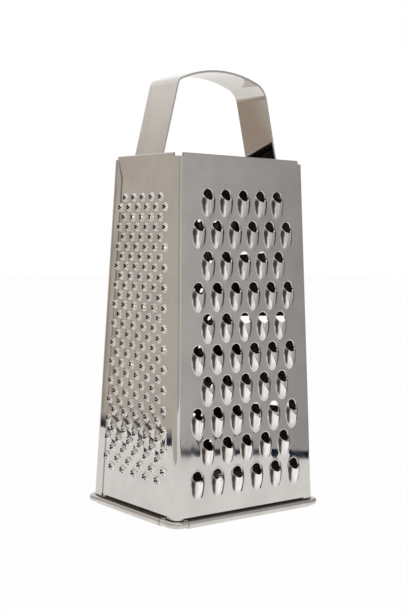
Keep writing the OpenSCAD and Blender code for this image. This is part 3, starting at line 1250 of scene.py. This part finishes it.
    def camera(self) -> None:
        """Camera at the viewing angle of the photograph."""
        turn = math.radians(self.azimuth_deg)
        tip = math.radians(self.elevation_deg)
        roll = math.radians(self.roll_deg)
        back = Vector((math.sin(turn) * math.cos(tip), -math.cos(turn) * math.cos(tip), math.sin(tip)))
        right = Vector((math.cos(turn), math.sin(turn), 0))
        up = back.cross(right)
        across = math.cos(roll) * right + math.sin(roll) * up
        upward = -math.sin(roll) * right + math.cos(roll) * up
        place = Matrix((across, upward, back)).transposed().to_4x4()
        place.translation = Vector(self.camera_at) * MM
        data = bpy.data.cameras.new("camera")
        data.lens = self.focal_mm
        data.sensor_fit = "VERTICAL"
        data.sensor_height = self.sensor_mm
        data.clip_end = self.clip_end
        camera = placed("camera", data)
        camera.matrix_world = place
        bpy.context.scene.camera = camera


@dataclass
class Grater:
    """The whole object, piece by piece.

    The slots stand at shares of the body's height, and the welds at places across each narrow face.
    """

    # bright annealed sheet: a warm grey mirror, wiped and a little wavy, that shows the room almost sharp;
    # its flanks beside the cutting edges are painted darker as a painted dark reflection, and the crowns of
    # its scoops and stars lighter as a painted highlight
    sheet: StainlessSteel = field(
        default_factory=lambda: StainlessSteel(
            "bright_annealed_sheet", "#d0ccc8", "#c5c1bd", 0.03, 0.07,
            flank_shade_colour="#51473f", highlight_colour="#f4f2f0",
        )
    )
    # the sheet's inner side, which nobody polishes: rougher, and painted darker with a darker edge tint as
    # painted shade, so that the openings look black
    inside: StainlessSteel = field(
        default_factory=lambda: StainlessSteel(
            "unpolished_inside_painted_shade", "#6b6661", "#5f5a55", 0.35, 0.45, grain_lift_mm=0.0, edge_colour="#a0a0a0"
        )
    )
    # polished strip: as bright as the sheet, with a softer mirror
    strip: StainlessSteel = field(
        default_factory=lambda: StainlessSteel("polished_strip", "#d2cdc7", "#c8c3bd", 0.07, 0.15)
    )
    # drawn wire: the die leaves it satin
    wire: StainlessSteel = field(
        default_factory=lambda: StainlessSteel("drawn_wire", "#cdc9c4", "#bdb9b4", 0.12, 0.22)
    )
    slot_rises: tuple[float, ...] = (0.255, 0.505, 0.72)
    slot_turn_deg: float = -4.0
    weld_gap: float = 14.2
    left_welds: tuple[float, float] = (-10.8, 3.2)
    right_welds: tuple[float, float] = (-3.2, 10.8)

    def build(self) -> None:
        """Make every piece."""
        star = Star()
        star_rows = Rows(top_gap=22.8, foot_gap=21, pitch=5.28, columns=5, spans=(0.716, 0.666), side=1)
        coarse = Drop(
            "coarse_drop", hole=6.5, width=8.5, height=2.28, length=9.2, segments=28,
            rings=(0.06, 0.2, 0.4, 0.6, 0.8, 0.92, 1.0), fillet=0.5, burr=0.15,
        )
        coarse_rows = Rows(top_gap=21, foot_gap=24, pitch=16.31, columns=5, spans=(0.712, 0.679), side=0)
        small = Drop(
            "small_drop", hole=2.8, width=4.0, height=1.18, length=4.4, segments=10,
            rings=(0.2, 0.6, 1.0), fillet=0.2, burr=0.0, margin=0.35,
        )
        small_rows = Rows(top_gap=25, foot_gap=25, pitch=8.36, columns=10, spans=(0.75, 0.66), side=0)
        weld = WeldMark().build()
        weld_up = BODY.along(BODY.height - self.weld_gap, 0)
        slant = Matrix.Rotation(math.radians(self.slot_turn_deg), 4, "Z")
        slots = [
            Matrix.Translation((BODY.flange / 2, share * BODY.height, 0)) @ slant for share in self.slot_rises
        ]
        Shell(
            "front_left_shell",
            180,
            self.sheet,
            self.inside,
            wide=[Punching(coarse.build(), coarse_rows.places())],
            narrow=[
                Punching(star.build(), star_rows.places(), star.teeth()),
                Punching(weld, [Matrix.Translation((across, weld_up, 0)) for across in self.left_welds]),
            ],
        ).build()
        Shell(
            "back_right_shell",
            0,
            self.sheet,
            self.inside,
            wide=[Punching(small.build(), small_rows.places())],
            narrow=[
                Punching(Blade().build(), slots),
                Punching(weld, [Matrix.Translation((across, weld_up, 0)) for across in self.right_welds]),
            ],
        ).build()
        NodePiece("base_wire", Slot.WIRE, self.wire).build()
        NodePiece("handle_strap", Slot.STRAP, self.strip, edge_mm=0.25).build()


def main() -> None:
    """Build the studio and the grater."""
    logging.basicConfig(level=logging.INFO)
    bpy.context.scene.view_settings.view_transform = "Standard"
    Studio().build()
    Grater().build()


if __name__ == "__main__":
    main()
